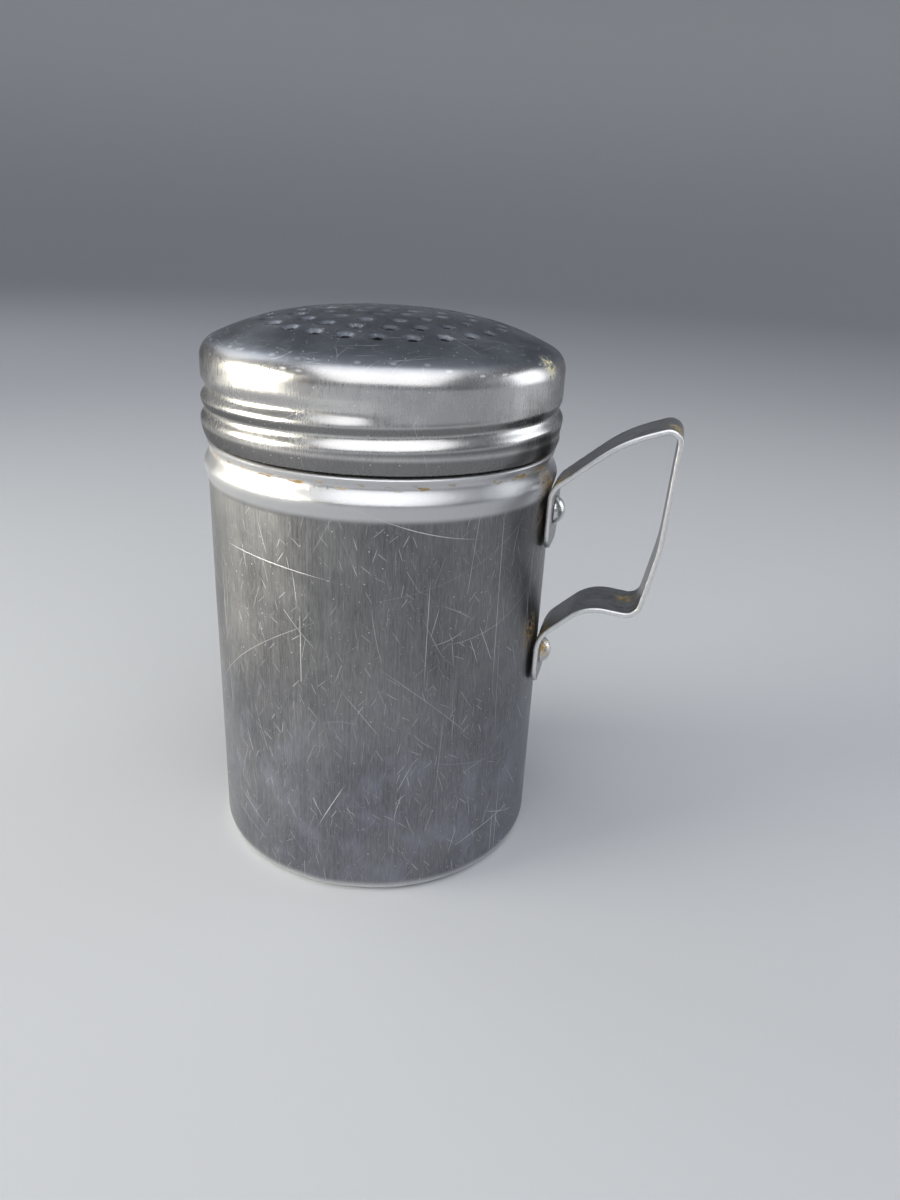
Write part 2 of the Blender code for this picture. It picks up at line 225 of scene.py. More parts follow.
class Nodes:
    """Short calls that add shader nodes to one material. An input is a socket or a plain value."""

    def __init__(self, name):
        self.material = bpy.data.materials.new(name)
        self.material.use_nodes = True
        self.tree = self.material.node_tree
        self.shader = self.tree.nodes["Principled BSDF"]

    def feed(self, socket, value):
        if isinstance(value, bpy.types.NodeSocket):
            self.tree.links.new(value, socket)
        elif socket.type == "RGBA":
            socket.default_value = (*value[:3], 1)
        else:
            socket.default_value = value

    def add(self, kind, *values, out=0, **settings):
        node = self.tree.nodes.new("ShaderNode" + kind)
        for key, value in settings.items():
            setattr(node, key, value)
        for socket, value in zip(node.inputs, values):
            if value is not None:
                self.feed(socket, value)
        return node.outputs[out]

    def math(self, operation, *values, clamp=False):
        return self.add("Math", *values, operation=operation, use_clamp=clamp)

    def ramp(self, value, low, high, to_low=0.0, to_high=1.0):
        """Maps low..high to to_low..to_high with soft ends, and clamps outside."""
        return self.add(
            "MapRange", value, low, high, to_low, to_high, interpolation_type="SMOOTHSTEP"
        )

    def mix(self, share, first, second):
        node = self.tree.nodes.new("ShaderNodeMix")
        node.data_type = "RGBA"
        self.feed(node.inputs[0], share)
        self.feed(node.inputs[6], first)
        self.feed(node.inputs[7], second)
        return node.outputs[2]

    def scaled(self, vector, scale, shift=(0.0, 0.0, 0.0)):
        return self.add("Mapping", vector, shift, None, scale)

    def noise(self, vector, scale, detail=2.0, roughness=0.5):
        node = self.tree.nodes.new("ShaderNodeTexNoise")
        self.feed(node.inputs["Vector"], vector)
        node.inputs["Scale"].default_value = scale
        node.inputs["Detail"].default_value = detail
        node.inputs["Roughness"].default_value = roughness
        return node.outputs["Fac"]

    def place(self):
        """The point on the object in millimetres."""
        spot = self.add("TexCoord", out=3)
        return self.add("VectorMath", spot, None, None, 1 / MM, operation="SCALE")

    def unrolled(self, place, radius):
        """The wall laid flat: arc length round the axis, height, 0."""
        x, y, z = (self.part(place, i) for i in range(3))
        arc = self.math("MULTIPLY", self.math("ARCTAN2", y, x), radius)
        return self.add("CombineXYZ", arc, z, 0.0)

    def part(self, vector, index):
        return self.add("SeparateXYZ", vector, out=index)

    def near(self, place, spot, reach):
        """1 at a spot, falling to 0 at its reach."""
        away = self.add("VectorMath", place, spot, operation="DISTANCE", out=1)
        return self.ramp(away, 0.0, reach, 1.0, 0.0)

    def cells(self, flat, cell, shift):
        """Scattered 2-D cells of a size in mm: their node, and the shifted plane that it was given."""
        moved = self.add("VectorMath", flat, shift, operation="ADD")
        cells = self.tree.nodes.new("ShaderNodeTexVoronoi")
        cells.voronoi_dimensions = "2D"
        self.feed(cells.inputs["Vector"], moved)
        cells.inputs["Scale"].default_value = 1 / cell
        return cells, moved

    def scratches(self, flat, cell, width, heading, spread, bend, share, seed):
        """Thin lines in a flat (mm) plane, one to a cell: 1 on a line, 0 off it.

        cell is the cells' size, heading and spread the lines' direction in radians, bend the most that a
        line curves (per mm), and share how many of the cells have a line.
        """
        cells, moved = self.cells(flat, cell, (seed * 37.1, seed * 91.7, 0.0))
        pick = [self.part(cells.outputs["Color"], i) for i in range(3)]
        local = self.add("VectorMath", moved, cells.outputs["Position"], operation="SUBTRACT")
        angle = self.math("MULTIPLY_ADD", pick[0], spread, heading - spread / 2)
        turned = self.add("VectorRotate", local, (0, 0, 0), (0, 0, 1), angle, rotation_type="AXIS_ANGLE")
        along, across = self.part(turned, 0), self.part(turned, 1)
        curve = self.math("MULTIPLY_ADD", pick[1], 2 * bend, -bend)
        bow = self.math("MULTIPLY", curve, self.math("POWER", along, 2.0))
        across = self.math("SUBTRACT", across, bow)
        line = self.ramp(self.math("ABSOLUTE", across), width * 0.3, width, 1.0, 0.0)
        ends = self.ramp(self.math("ABSOLUTE", along), cell * 0.25, cell * 0.6, 1.0, 0.0)
        shown = self.ramp(pick[2], 1 - share, 1.1, 0.0, 1.1)
        return self.math("MULTIPLY", self.math("MULTIPLY", line, ends), shown)

    def specks(self, flat, cell, size, share, seed):
        """Small round flecks in a flat (mm) plane, at most one to a cell: 1 on a fleck, 0 off it."""
        cells, _ = self.cells(flat, cell, (seed * 53.3, seed * 17.9, 0.0))
        away = self.math("MULTIPLY", cells.outputs["Distance"], cell)
        fleck = self.ramp(away, size * 0.4, size, 1.0, 0.0)
        picked = self.part(cells.outputs["Color"], 1)
        return self.math("MULTIPLY", fleck, self.ramp(picked, 1 - share, 1.0, 0.0, 1.0))

    def wear(self, flat, kinds):
        """Several kinds of scratch together.

        A kind is (strength, cell, width, heading and spread in degrees, bend, share, seed).
        """
        marks = []
        for strength, cell, width, heading, spread, bend, share, seed in kinds:
            turn = (math.radians(heading), math.radians(spread))
            lines = self.scratches(flat, cell, width, *turn, bend, share, seed)
            marks.append(self.math("MULTIPLY", lines, strength))
        return self.strongest(*marks)

    def strongest(self, *masks):
        most = masks[0]
        for mask in masks[1:]:
            most = self.math("MAXIMUM", most, mask)
        return most

    def total(self, *weighted):
        """The sum of (weight, value) pairs."""
        (weight, value), *rest = weighted
        result = self.math("MULTIPLY", value, weight)
        for weight, value in rest:
            result = self.math("MULTIPLY_ADD", value, weight, result)
        return result

    def finish(self, colour, roughness, height, depth, metallic=1.0, grazing=1.0):
        """Sets the shader.

        depth is the real height, in mm, of 1 in the height value. grazing is how much of a clean metal's
        edge-on shine is left.
        """
        self.feed(self.shader.inputs["Specular Tint"], (grazing, grazing, grazing))
        self.feed(self.shader.inputs["Base Color"], colour)
        self.feed(self.shader.inputs["Roughness"], roughness)
        self.feed(self.shader.inputs["Metallic"], metallic)
        bump = self.tree.nodes.new("ShaderNodeBump")
        bump.inputs["Strength"].default_value = 1.0
        bump.inputs["Distance"].default_value = depth * MM
        self.feed(bump.inputs["Height"], height)
        self.tree.links.new(bump.outputs["Normal"], self.shader.inputs["Normal"])
        return self.material


# ---------------------------------------------------------------- metals

GRIME = (0.26, 0.16, 0.045)
PALE_GRIME = (0.62, 0.55, 0.30)
STRIP_GRIME = (0.50, 0.33, 0.05)
RIVET_GRIME = (0.45, 0.28, 0.05)
SCRATCH = (0.93, 0.94, 0.95)
# The wall's dark and pale tones on the next line are the dull metal's own, darkened further as painted
# shade.
WALL_DARK, WALL_PALE = (0.11, 0.11, 0.116), (0.20, 0.20, 0.205)
WALL_LOW, WALL_STAIN = (0.165, 0.17, 0.215), (0.26, 0.265, 0.34)
DRAW_LINE, FINE_LINE = (0.60, 0.60, 0.60), (0.70, 0.70, 0.70)
# The first colour on the next line is a painted highlight for the shoulder and neck.
SHOULDER_HIGHLIGHT, BASE_EDGE = (0.74, 0.74, 0.75), (0.86, 0.86, 0.86)
LID_DARK, LID_PALE = (0.50, 0.485, 0.48), (0.64, 0.63, 0.62)
# The second colour on the next line is painted shade for the lid's downward-facing flanks and edge curl.
LID_STREAK, UNDERSIDE_SHADE = (0.80, 0.80, 0.80), (0.17, 0.167, 0.17)
# The dome's colours on the next line are painted shade: the same sheet as the skirt, painted darker and
# bluer.
DOME_SHADE_DARK, DOME_SHADE_PALE = (0.20, 0.225, 0.26), (0.31, 0.335, 0.38)
STRIP_DARK, STRIP_PALE, STRIP_STREAK = (0.15, 0.15, 0.155), (0.27, 0.27, 0.275), (0.72, 0.72, 0.73)
# The strip's edge colours on the next line are a painted highlight.
EDGE_HIGHLIGHT_DARK, EDGE_HIGHLIGHT_PALE = (0.66, 0.66, 0.66), (0.92, 0.92, 0.92)
RIVET_DARK, RIVET_PALE = (0.55, 0.55, 0.56), (0.86, 0.86, 0.86)

# strength, cell, width, heading, spread, bend, share, seed
WALL_WEAR = (
    (0.95, 40.0, 0.10, 90, 6, 0.0002, 0.9, 1),
    (0.85, 22.0, 0.09, 91, 14, 0.001, 0.8, 6),
    (0.75, 44.0, 0.10, 20, 120, 0.012, 0.9, 2),
    (0.80, 26.0, 0.09, 15, 160, 0.015, 0.8, 7),
    (0.75, 12.0, 0.08, 75, 130, 0.010, 0.7, 3),
    (0.70, 6.0, 0.07, 86, 60, 0.010, 0.7, 8),
    (0.60, 2.6, 0.07, 84, 120, 0.020, 0.7, 4),
    (0.55, 7.0, 0.14, 60, 180, 0.12, 0.15, 5),
)
BAND_WEAR = (
    (0.45, 9.0, 0.08, 80, 170, 0.01, 0.4, 14),
    (0.35, 3.5, 0.06, 20, 170, 0.03, 0.4, 16),
)
TOP_ROUND_WEAR = (
    (0.60, 10.0, 0.08, 0, 24, 0.004, 0.75, 11),
    (0.50, 4.0, 0.07, 0, 40, 0.01, 0.7, 17),
)
TOP_WEAR = (
    (0.60, 12.0, 0.08, 0, 180, 0.008, 0.7, 12),
    (0.45, 5.0, 0.07, 0, 180, 0.02, 0.6, 18),
    (0.40, 2.4, 0.07, 0, 180, 0.04, 0.6, 13),
    (0.80, 4.6, 0.16, 0, 180, 0.30, 0.12, 15),
)
STRIP_WEAR = (
    (0.60, 5.0, 0.10, 90, 70, 0.02, 0.6, 21),
    (0.50, 2.4, 0.09, 90, 150, 0.05, 0.5, 22),
)


def cup_metal():
    """Dull satin aluminium with draw lines up the wall, scratches, flecks and a little grime. The wall's
    dark tone is partly painted shade, and the shoulder and neck are painted pale as a highlight.
    """
    n = Nodes("cup_worn_aluminium")
    place = n.place()
    flat = n.unrolled(place, CUP_RADIUS)
    height = n.part(place, 2)

    cloudy = n.ramp(n.noise(n.scaled(flat, (0.055, 0.04, 1)), 1.0, 4.0, 0.6), 0.3, 0.7)
    patches = n.ramp(n.noise(n.scaled(flat, (0.14, 0.12, 1), (9, 4, 0)), 1.0, 3.0), 0.46, 0.70)
    draw_lines = n.ramp(n.noise(n.scaled(place, (3.0, 3.0, 0.10)), 1.0, 3.0, 0.65), 0.32, 0.68)
    fine_lines = n.ramp(n.noise(n.scaled(place, (6.0, 6.0, 0.45)), 1.0, 3.0, 0.7), 0.35, 0.65)
    grain = n.noise(n.scaled(place, (2.6, 2.6, 2.2)), 1.0, 3.0, 0.7)
    low = n.ramp(height, 55.0, 20.0)
    on_wall = n.ramp(height, 81.2, 79.4)
    broad = n.noise(n.scaled(flat, (0.07, 0.06, 1), (3, 8, 0)), 1.0, 2.0)
    worn_more = n.ramp(broad, 0.3, 0.65, 0.3, 1.0)

    marks = n.strongest(
        n.math("MULTIPLY", n.wear(flat, WALL_WEAR), worn_more),
        n.math("MULTIPLY", n.specks(flat, 3.1, 0.18, 0.30, 1), 0.55),
        n.math("MULTIPLY", n.specks(flat, 1.3, 0.11, 0.35, 2), 0.5),
    )
    marks = n.math("MULTIPLY", marks, n.ramp(on_wall, 0.0, 1.0, 0.35, 1.0))

    in_groove = n.math("MULTIPLY", n.ramp(height, 85.4, 86.0), n.ramp(height, 86.3, 87.0, 1.0, 0.0))
    spotty = n.ramp(n.noise(n.scaled(flat, (0.30, 0.9, 1)), 1.0, 3.0), 0.52, 0.66)
    at_tabs = n.strongest(
        n.near(place, (34.9, -7.0, 52.0), 6.5),
        n.near(place, (35.2, -6.5, 83.0), 6.0),
        n.math("MULTIPLY", n.near(place, (35.0, -7.0, 75.5), 6.0), 0.5),
    )
    crumbs = n.ramp(n.noise(place, 1.3, 3.0), 0.40, 0.58)
    dirt = n.strongest(n.math("MULTIPLY", in_groove, spotty), n.math("MULTIPLY", at_tabs, crumbs))

    # Partly painted shade: the wall's base tones are darker than the metal's own, for the dark it
    # reflects.
    metal = n.mix(cloudy, WALL_DARK, WALL_PALE)
    metal = n.mix(n.math("MULTIPLY", low, 0.45), metal, WALL_LOW)
    metal = n.mix(n.math("MULTIPLY", patches, n.math("MULTIPLY", low, 0.5)), metal, WALL_STAIN)
    metal = n.mix(n.math("MULTIPLY", draw_lines, 0.10), metal, DRAW_LINE)
    metal = n.mix(n.math("MULTIPLY", fine_lines, 0.12), metal, FINE_LINE)
    # Painted highlight: the shoulder bead, groove, collar and neck are painted much paler than the wall.
    metal = n.mix(n.ramp(on_wall, 0.0, 1.0, 0.75, 0.0), metal, SHOULDER_HIGHLIGHT)
    metal = n.mix(n.ramp(height, 3.0, 0.8, 0.0, 0.85), metal, BASE_EDGE)
    colour = n.mix(marks, metal, SCRATCH)
    colour = n.mix(dirt, colour, GRIME)
    off_wall = n.ramp(on_wall, 1.0, 0.0)
    rough = n.total((0.12, cloudy), (0.06, draw_lines), (0.16, marks), (0.25, dirt), (-0.08, off_wall))
    rough = n.math("ADD", rough, 0.33)
    relief = n.total((0.12, draw_lines), (0.20, fine_lines), (0.45, grain), (-0.8, marks), (0.8, dirt))
    metallic = n.ramp(dirt, 0.0, 0.8, 1.0, 0.0)
    return n.finish(colour, rough, relief, 0.028, metallic)


def lid_metal():
    """Brighter than the cup on its skirt. Its dome is finely scratched and painted darker and bluer than
    the skirt as painted shade, and the skirt's downward-facing flanks are painted dark as shade.
    """
    n = Nodes("lid_worn_aluminium")
    place = n.place()
    flat = n.unrolled(place, BAND_RADIUS)
    height = n.part(place, 2)
    level = n.add("CombineXYZ", n.part(place, 0), n.part(place, 1), 0.0)
    radius = n.add("VectorMath", level, operation="LENGTH", out=1)
    round_top = n.add("CombineXYZ", n.part(flat, 0), radius, 0.0)
    on_top = n.ramp(height, 104.6, 106.6)
    at_corner = n.math("MULTIPLY", n.ramp(height, 103.5, 105.0), n.ramp(height, 107.2, 106.0))

    cloudy = n.ramp(n.noise(n.scaled(place, (0.07, 0.07, 0.1)), 1.0, 4.0, 0.6), 0.3, 0.7)
    rings = n.noise(n.add("CombineXYZ", radius, height, 0.0), 3.0, 4.0, 0.7)
    streaks = n.ramp(n.noise(n.scaled(place, (3.0, 3.0, 0.35)), 1.0, 3.0, 0.65), 0.32, 0.68)
    grain = n.noise(n.scaled(place, (2.4, 2.4, 2.4)), 1.0, 3.0, 0.7)

    top_marks = n.strongest(
        n.wear(round_top, TOP_ROUND_WEAR),
        n.wear(level, TOP_WEAR),
        n.math("MULTIPLY", n.specks(level, 1.6, 0.18, 0.4, 3), 0.8),
    )
    corner_marks = n.specks(n.scaled(flat, (0.35, 1.0, 1.0)), 0.9, 0.3, 0.35, 4)
    marks = n.strongest(
        n.math("MULTIPLY", top_marks, on_top),
        n.math("MULTIPLY", corner_marks, n.math("MULTIPLY", at_corner, 0.7)),
        n.math("MULTIPLY", n.wear(flat, BAND_WEAR), 0.6),
        n.math("MULTIPLY", n.specks(flat, 2.4, 0.16, 0.3, 5), 0.6),
    )
    crumbs = n.ramp(n.noise(place, 1.3, 3.0), 0.42, 0.56)
    dirt = n.strongest(
        n.near(place, (33.4, -8.2, 105.0), 3.6),
        n.near(place, (-30.4, -18.2, 98.4), 1.6),
    )
    dirt = n.math("MULTIPLY", dirt, crumbs)

    # Painted shade: the downward-facing flank under each thread rib and the inward curl at the lid's edge
    # are painted dark.
    turn = n.math("ARCTAN2", n.part(place, 1), n.part(place, 0))
    start = THREAD_START * PITCH / math.tau - LID_THREAD_Z
    climb = n.math("MULTIPLY_ADD", turn, -PITCH / math.tau, start)
    phase = n.math("FRACT", n.math("DIVIDE", n.math("ADD", height, climb), PITCH))
    under_rib = n.math("MULTIPLY", n.ramp(phase, 0.02, 0.16), n.ramp(phase, 0.50, 0.36))
    in_thread = n.math("MULTIPLY", n.ramp(height, 91.0, 92.4), n.ramp(height, 99.0, 97.4))
    curl = n.ramp(height, 91.6, 90.6)
    underside_shade = n.strongest(n.math("MULTIPLY", under_rib, in_thread), curl)

    metal = n.mix(cloudy, LID_DARK, LID_PALE)
    metal = n.mix(n.math("MULTIPLY", streaks, 0.10), metal, LID_STREAK)
    metal = n.mix(n.math("MULTIPLY", underside_shade, 0.85), metal, UNDERSIDE_SHADE)
    # Painted shade: the dome's top is painted darker and bluer than the skirt.
    dome_shaded_metal = n.mix(cloudy, DOME_SHADE_DARK, DOME_SHADE_PALE)
    metal = n.mix(n.math("MULTIPLY", on_top, 0.85), metal, dome_shaded_metal)
    colour = n.mix(marks, metal, SCRATCH)
    colour = n.mix(dirt, colour, PALE_GRIME)
    rough = n.total((0.07, cloudy), (0.05, streaks), (0.16, marks), (0.08, on_top), (0.3, dirt))
    rough = n.math("ADD", rough, 0.21)
    top_rings = n.math("MULTIPLY", rings, on_top)
    relief = n.total((0.3, top_rings), (0.03, streaks), (0.25, grain), (-0.8, marks), (1.0, dirt))
    return n.finish(colour, rough, relief, 0.026, n.ramp(dirt, 0.0, 0.8, 1.0, 0.1), 0.5)


def strip_metal():
    """Dull rolled faces, painted dark partly as shade, with streaks along the strip and grime where it
    meets the cup and at its bends.
    """
    n = Nodes("handle_rolled_aluminium")
    place = n.place()
    side_view = n.add("CombineXYZ", n.part(place, 1), n.part(place, 2), 0.0)
    top_view = n.add("CombineXYZ", n.part(place, 1), n.part(place, 0), 0.0)
    cloudy = n.ramp(n.noise(place, 0.25, 4.0, 0.6), 0.3, 0.7)
    streaks = n.ramp(n.noise(n.scaled(place, (0.35, 4.0, 0.35)), 1.0, 3.0, 0.65), 0.35, 0.65)
    marks = n.strongest(
        n.wear(side_view, STRIP_WEAR),
        n.math("MULTIPLY", n.specks(top_view, 1.6, 0.16, 0.35, 6), 0.7),
    )
    dirt = n.strongest(
        n.near(place, (58.3, -3.0, 94.6), 4.5),
        n.near(place, (36.0, -4.0, 83.0), 6.0),
        n.near(place, (36.6, -4.5, 49.5), 6.5),
        n.near(place, (52.5, 1.5, 58.6), 3.4),
    )
    dirt = n.math("MULTIPLY", dirt, n.ramp(n.noise(place, 1.2, 3.0), 0.42, 0.58))
    # Partly painted shade: the faces' tones are darker than the metal's own.
    metal = n.mix(cloudy, STRIP_DARK, STRIP_PALE)
    metal = n.mix(n.math("MULTIPLY", streaks, 0.3), metal, STRIP_STREAK)
    colour = n.mix(n.math("MULTIPLY", marks, 0.8), metal, SCRATCH)
    colour = n.mix(dirt, colour, STRIP_GRIME)
    rough = n.math("ADD", n.total((0.10, cloudy), (0.08, streaks), (0.3, dirt)), 0.24)
    relief = n.total((0.6, streaks), (-0.8, marks), (0.5, dirt))
    return n.finish(colour, rough, relief, 0.022, n.ramp(dirt, 0.0, 0.8, 1.0, 0.1))


def edge_metal():
    """The strip's sheared edges, painted bright as a highlight."""
    n = Nodes("handle_edge_highlight")
    place = n.place()
    along = n.noise(n.scaled(place, (1.0, 8.0, 1.0)), 1.6, 3.0, 0.7)
    # Painted highlight: the edges are painted far paler than the strip's faces.
    colour = n.mix(along, EDGE_HIGHLIGHT_DARK, EDGE_HIGHLIGHT_PALE)
    rough = n.math("MULTIPLY_ADD", along, 0.2, 0.28)
    return n.finish(colour, rough, along, 0.03)


def rivet_metal():
    """Bright, slightly uneven heads, with grime on the lower one."""
    n = Nodes("rivet_aluminium")
    place = n.place()
    pits = n.noise(place, 0.8, 3.0, 0.6)
    fine = n.noise(place, 4.0, 2.0)
    crumbs = n.ramp(n.noise(place, 1.3, 3.0), 0.38, 0.55)
    dirt = n.math("MULTIPLY", n.near(place, (37.0, -2.6, 46.6), 3.4), crumbs)
    colour = n.mix(pits, RIVET_DARK, RIVET_PALE)
    colour = n.mix(dirt, colour, RIVET_GRIME)
    rough = n.math("ADD", n.total((0.18, pits), (0.3, dirt)), 0.13)
    relief = n.total((1.0, pits), (0.2, fine))
    return n.finish(colour, rough, relief, 0.2, n.ramp(dirt, 0.0, 0.8, 1.0, 0.1))


# ---------------------------------------------------------------- shape functions


def smooth(x):
    """0 to 1 with soft ends, clamped outside."""
    x = np.clip(x, 0.0, 1.0)
    return x * x * (3 - 2 * x)


def thread_share(angle, height, first_z, start, end, half_width):
    """How much of the full thread is at each place, 0 to 1, with ends that fade out."""
    most = np.zeros(np.broadcast(angle, height).shape)
    for turn in range(math.floor(start / math.tau) - 1, math.ceil(end / math.tau) + 1):
        unwound = angle + turn * math.tau
        rise = smooth((unwound - start) / THREAD_FADE + 0.5)
        fade = rise * smooth((end - unwound) / THREAD_FADE + 0.5)
        offset = height - (first_z + PITCH * (unwound - THREAD_START) / math.tau)
        crest = np.cos(np.pi * np.clip(offset / (2 * half_width), -0.5, 0.5)) ** 2
        most = np.maximum(most, fade * crest)
    return most


def bump_at(angle, height, centre, reach, depth):
    """A round shallow dent. centre is (degrees, height), reach its half size (mm round, mm up)."""
    away = np.remainder(angle - math.radians(centre[0]) + math.pi, math.tau) - math.pi
    distance = np.hypot(away * CUP_RADIUS / reach[0], (height - centre[1]) / reach[1])
    return depth * (1 - smooth(distance))


# (degrees round, height), (half width, half height), depth
CUP_DENTS = (
    ((-78, 3.0), (9, 5), 0.35),
    ((-100, 2.5), (7, 4), 0.22),
    ((-62, 4.0), (6, 5), 0.18),
    ((-55, 46.0), (6, 8), 0.10),
    ((-84, 42.0), (8, 7), 0.08),
    ((-120, 30.0), (10, 12), 0.10),
    ((150, 38.0), (12, 14), 0.14),
    ((60, 20.0), (9, 8), 0.12),
    ((110, 5.0), (9, 4), 0.22),
)


def wall_waves(angle, height):
    """Slow unevenness of hand-worn sheet, within about 0.06 mm."""
    return 0.03 * np.sin(3 * angle + 0.06 * height) + 0.02 * np.sin(7 * angle - 0.11 * height + 1.3)


def shoulder_radius(height):
    """The cup's outside from its straight wall to its neck, without thread or dents."""
    knots = (
        (BEAD_START_Z, CUP_RADIUS),
        (BEAD_Z, BEAD_RADIUS),
        (GROOVE_Z, GROOVE_RADIUS),
        (COLLAR_Z, COLLAR_RADIUS),
        (NECK_Z, NECK_RADIUS),
    )
    radius = np.full(np.shape(height), CUP_RADIUS)
    for (z0, r0), (z1, r1) in zip(knots, knots[1:]):
        radius = np.where(height >= z0, r0 + (r1 - r0) * smooth((height - z0) / (z1 - z0)), radius)
    return radius


def cup_radius(angle, height):
    radius = shoulder_radius(height)
    crest = thread_share(
        angle, height, LID_THREAD_Z + PITCH / 2, NECK_THREAD_START, NECK_THREAD_END, NECK_BEAD_HALF
    )
    radius = radius + NECK_CREST * crest * (height > NECK_Z)
    on_wall = 1 - smooth((height - 70) / 12)
    radius = radius - sum(bump_at(angle, height, *dent) for dent in CUP_DENTS)
    return radius + (wall_waves(angle, height) - WALL_INSET) * on_wall


def skirt_radius(height):
    drawn_in = EDGE_CURL * np.maximum(RIB_Z - height, 0) ** 2
    to_band = smooth((height - RIB_Z - 2) / (BAND_Z - RIB_Z - 2))
    return RIB_RADIUS - drawn_in - (RIB_RADIUS - BAND_RADIUS) * to_band


def lid_radius(angle, height):
    groove = thread_share(angle, height, LID_THREAD_Z, THREAD_START, LID_THREAD_END, PITCH / 2)
    uneven = 0.03 * np.sin(5 * angle + 0.4) * smooth((height - 94) / 6)
    return skirt_radius(height) - LID_GROOVE * groove + uneven - SKIRT_INSET


def dome_terms():
    """(edge radius, square term, fourth-power term) of the drop from the apex to the rim corner."""
    edge = BAND_RADIUS - RIM_CORNER + RIM_CORNER * math.sin(DOME_EDGE_SLOPE)
    drop = APEX_Z - RIM_Z - RIM_CORNER * math.cos(DOME_EDGE_SLOPE)
    fourth = (math.tan(DOME_EDGE_SLOPE) * edge / 2 - drop) / edge**4
    return edge, drop / edge**2 - fourth * edge**2, fourth


def dome_height(x, y):
    """The outer face of the punched top, with its lean, which fades out at the rim."""
    edge, square, fourth = dome_terms()
    radius = np.hypot(x, y)
    fade = (1 - np.minimum(radius / edge, 1) ** 6) ** 2
    forward = x * math.cos(DOME_LEAN_TO) + y * math.sin(DOME_LEAN_TO)
    return APEX_Z - square * radius**2 - fourth * radius**4 - math.tan(DOME_LEAN) * forward * fade


def dome_inward(radius):
    """How far the under side of the sheet lies inward and down from the dome's outer face."""
    _, square, fourth = dome_terms()
    slope = 2 * square * radius + 4 * fourth * radius**3
    return SHEET * slope / np.sqrt(1 + slope**2), SHEET / np.sqrt(1 + slope**2)


def hole_places():
    """Shaker holes on rings about the apex, each a little off its place as hand-set tools leave them."""
    places = []
    for radius, count, first_degrees in HOLE_RINGS:
        for i in range(count):
            a = math.radians(first_degrees) + math.tau * i / count
            off = rng.normal(0, 0.12, 2)
            places.append((radius * math.cos(a) + off[0], radius * math.sin(a) + off[1]))
    return np.array(places)


# ---------------------------------------------------------------- meshes


def add_piece(name, points, faces, metals, body, stands_for, sharp=38):
    """A smooth-shaded piece from points in mm, riding on its body in place of its CAD nodes."""
    mesh = bpy.data.meshes.new(name)
    mesh.from_pydata((np.asarray(points) * MM).tolist(), [], faces)
    mesh.validate()
    for metal in metals:
        mesh.materials.append(metal)
    mesh.shade_smooth()
    mesh.set_sharp_from_angle(angle=math.radians(sharp))
    made = bpy.data.objects.new(name, mesh)
    bpy.context.scene.collection.objects.link(made)
    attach(made, body)
    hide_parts(*stands_for)
    return made


def ring_rows(radii, heights, around):
    """Points of closed rings, one for each row of the arrays, in (row, angle) order."""
    angle = np.linspace(0, math.tau, around, endpoint=False)
    return np.stack([radii * np.cos(angle), radii * np.sin(angle), heights * np.ones(around)], -1)


def ring_faces(rows, around, first=0, loop=False):
    """Quads between neighbouring rings, facing away from the axis where the rings go up."""
    faces = []
    for j in range(rows if loop else rows - 1):
        k = (j + 1) % rows
        for i in range(around):
            n = (i + 1) % around
            a, b = first + j * around, first + k * around
            faces.append((a + i, a + n, b + n, b + i))
    return faces


def fan(centre, ring, turned=False):
    """Triangles from a centre point to a ring of point numbers."""
    faces = [(centre, ring[i], ring[(i + 1) % len(ring)]) for i in range(len(ring))]
    return [face[::-1] for face in faces] if turned else faces


def arc_points(centre, radius, start, end, steps):
    """(r, z) points on an arc, angles in degrees, both ends included."""
    angles = np.radians(np.linspace(start, end, steps + 1))
    return np.stack([centre[0] + radius * np.cos(angles), centre[1] + radius * np.sin(angles)], -1)


def cup_rows():
    """(radii, heights) of the cup's rings: up the outside, over the lip and down the inside."""
    angle = np.linspace(0, math.tau, AROUND, endpoint=False)
    outer_radii, heights = [], []
    corner = arc_points((CUP_RADIUS - BASE_CORNER, BASE_CORNER), BASE_CORNER, -90, 0, 9)

    lip_z = NECK_TOP_Z - 0.5
    lip_shape = ((0.02, 0.4), (0.1, 0.15), (0.3, 0.0), (0.55, 0.02), (0.72, 0.15), (CUP_WALL, 0.4))

    def outer(z, inset=0.0):
        return cup_radius(angle, np.full(AROUND, z)) - inset

    for r, z in corner:
        outer_radii.append(outer(z, CUP_RADIUS - r))
        heights.append(z)
    wall = np.arange(3.2, BEAD_START_Z, 1.0)
    shoulder = np.arange(BEAD_START_Z, NECK_Z, 0.25)
    neck = np.arange(NECK_Z, lip_z, 0.3)
    outside = np.concatenate([wall, shoulder, neck])
    for z in outside:
        outer_radii.append(outer(z))
        heights.append(z)
    for inset, drop in lip_shape:
        outer_radii.append(outer(lip_z, inset))
        heights.append(NECK_TOP_Z - drop)
    for z in outside[::-2]:
        outer_radii.append(outer(z, CUP_WALL))
        heights.append(z)
    inner_corner = arc_points(
        (CUP_RADIUS - BASE_CORNER, BASE_CORNER), BASE_CORNER - CUP_WALL, 0, -90, 6
    )
    for r, z in inner_corner:
        outer_radii.append(outer(BASE_CORNER, CUP_RADIUS - r))
        heights.append(z)
    return np.array(outer_radii), np.array(heights)


def make_cup():
    """The cup in one closed skin, with its neck and its inside."""
    radii, heights = cup_rows()
    rings = ring_rows(radii, heights[:, None], AROUND)
    rows = len(rings)
    points = rings.reshape(-1, 3).tolist()
    faces = ring_faces(rows, AROUND)
    under, floor = len(points), len(points) + 1
    points += [(0, 0, 0.25), (0, 0, CUP_WALL)]
    faces += fan(under, list(range(AROUND)), turned=True)
    faces += fan(floor, list(range((rows - 1) * AROUND, rows * AROUND)))
    add_piece("cup_skin", points, faces, [cup_metal()], "cup", ["cup"])


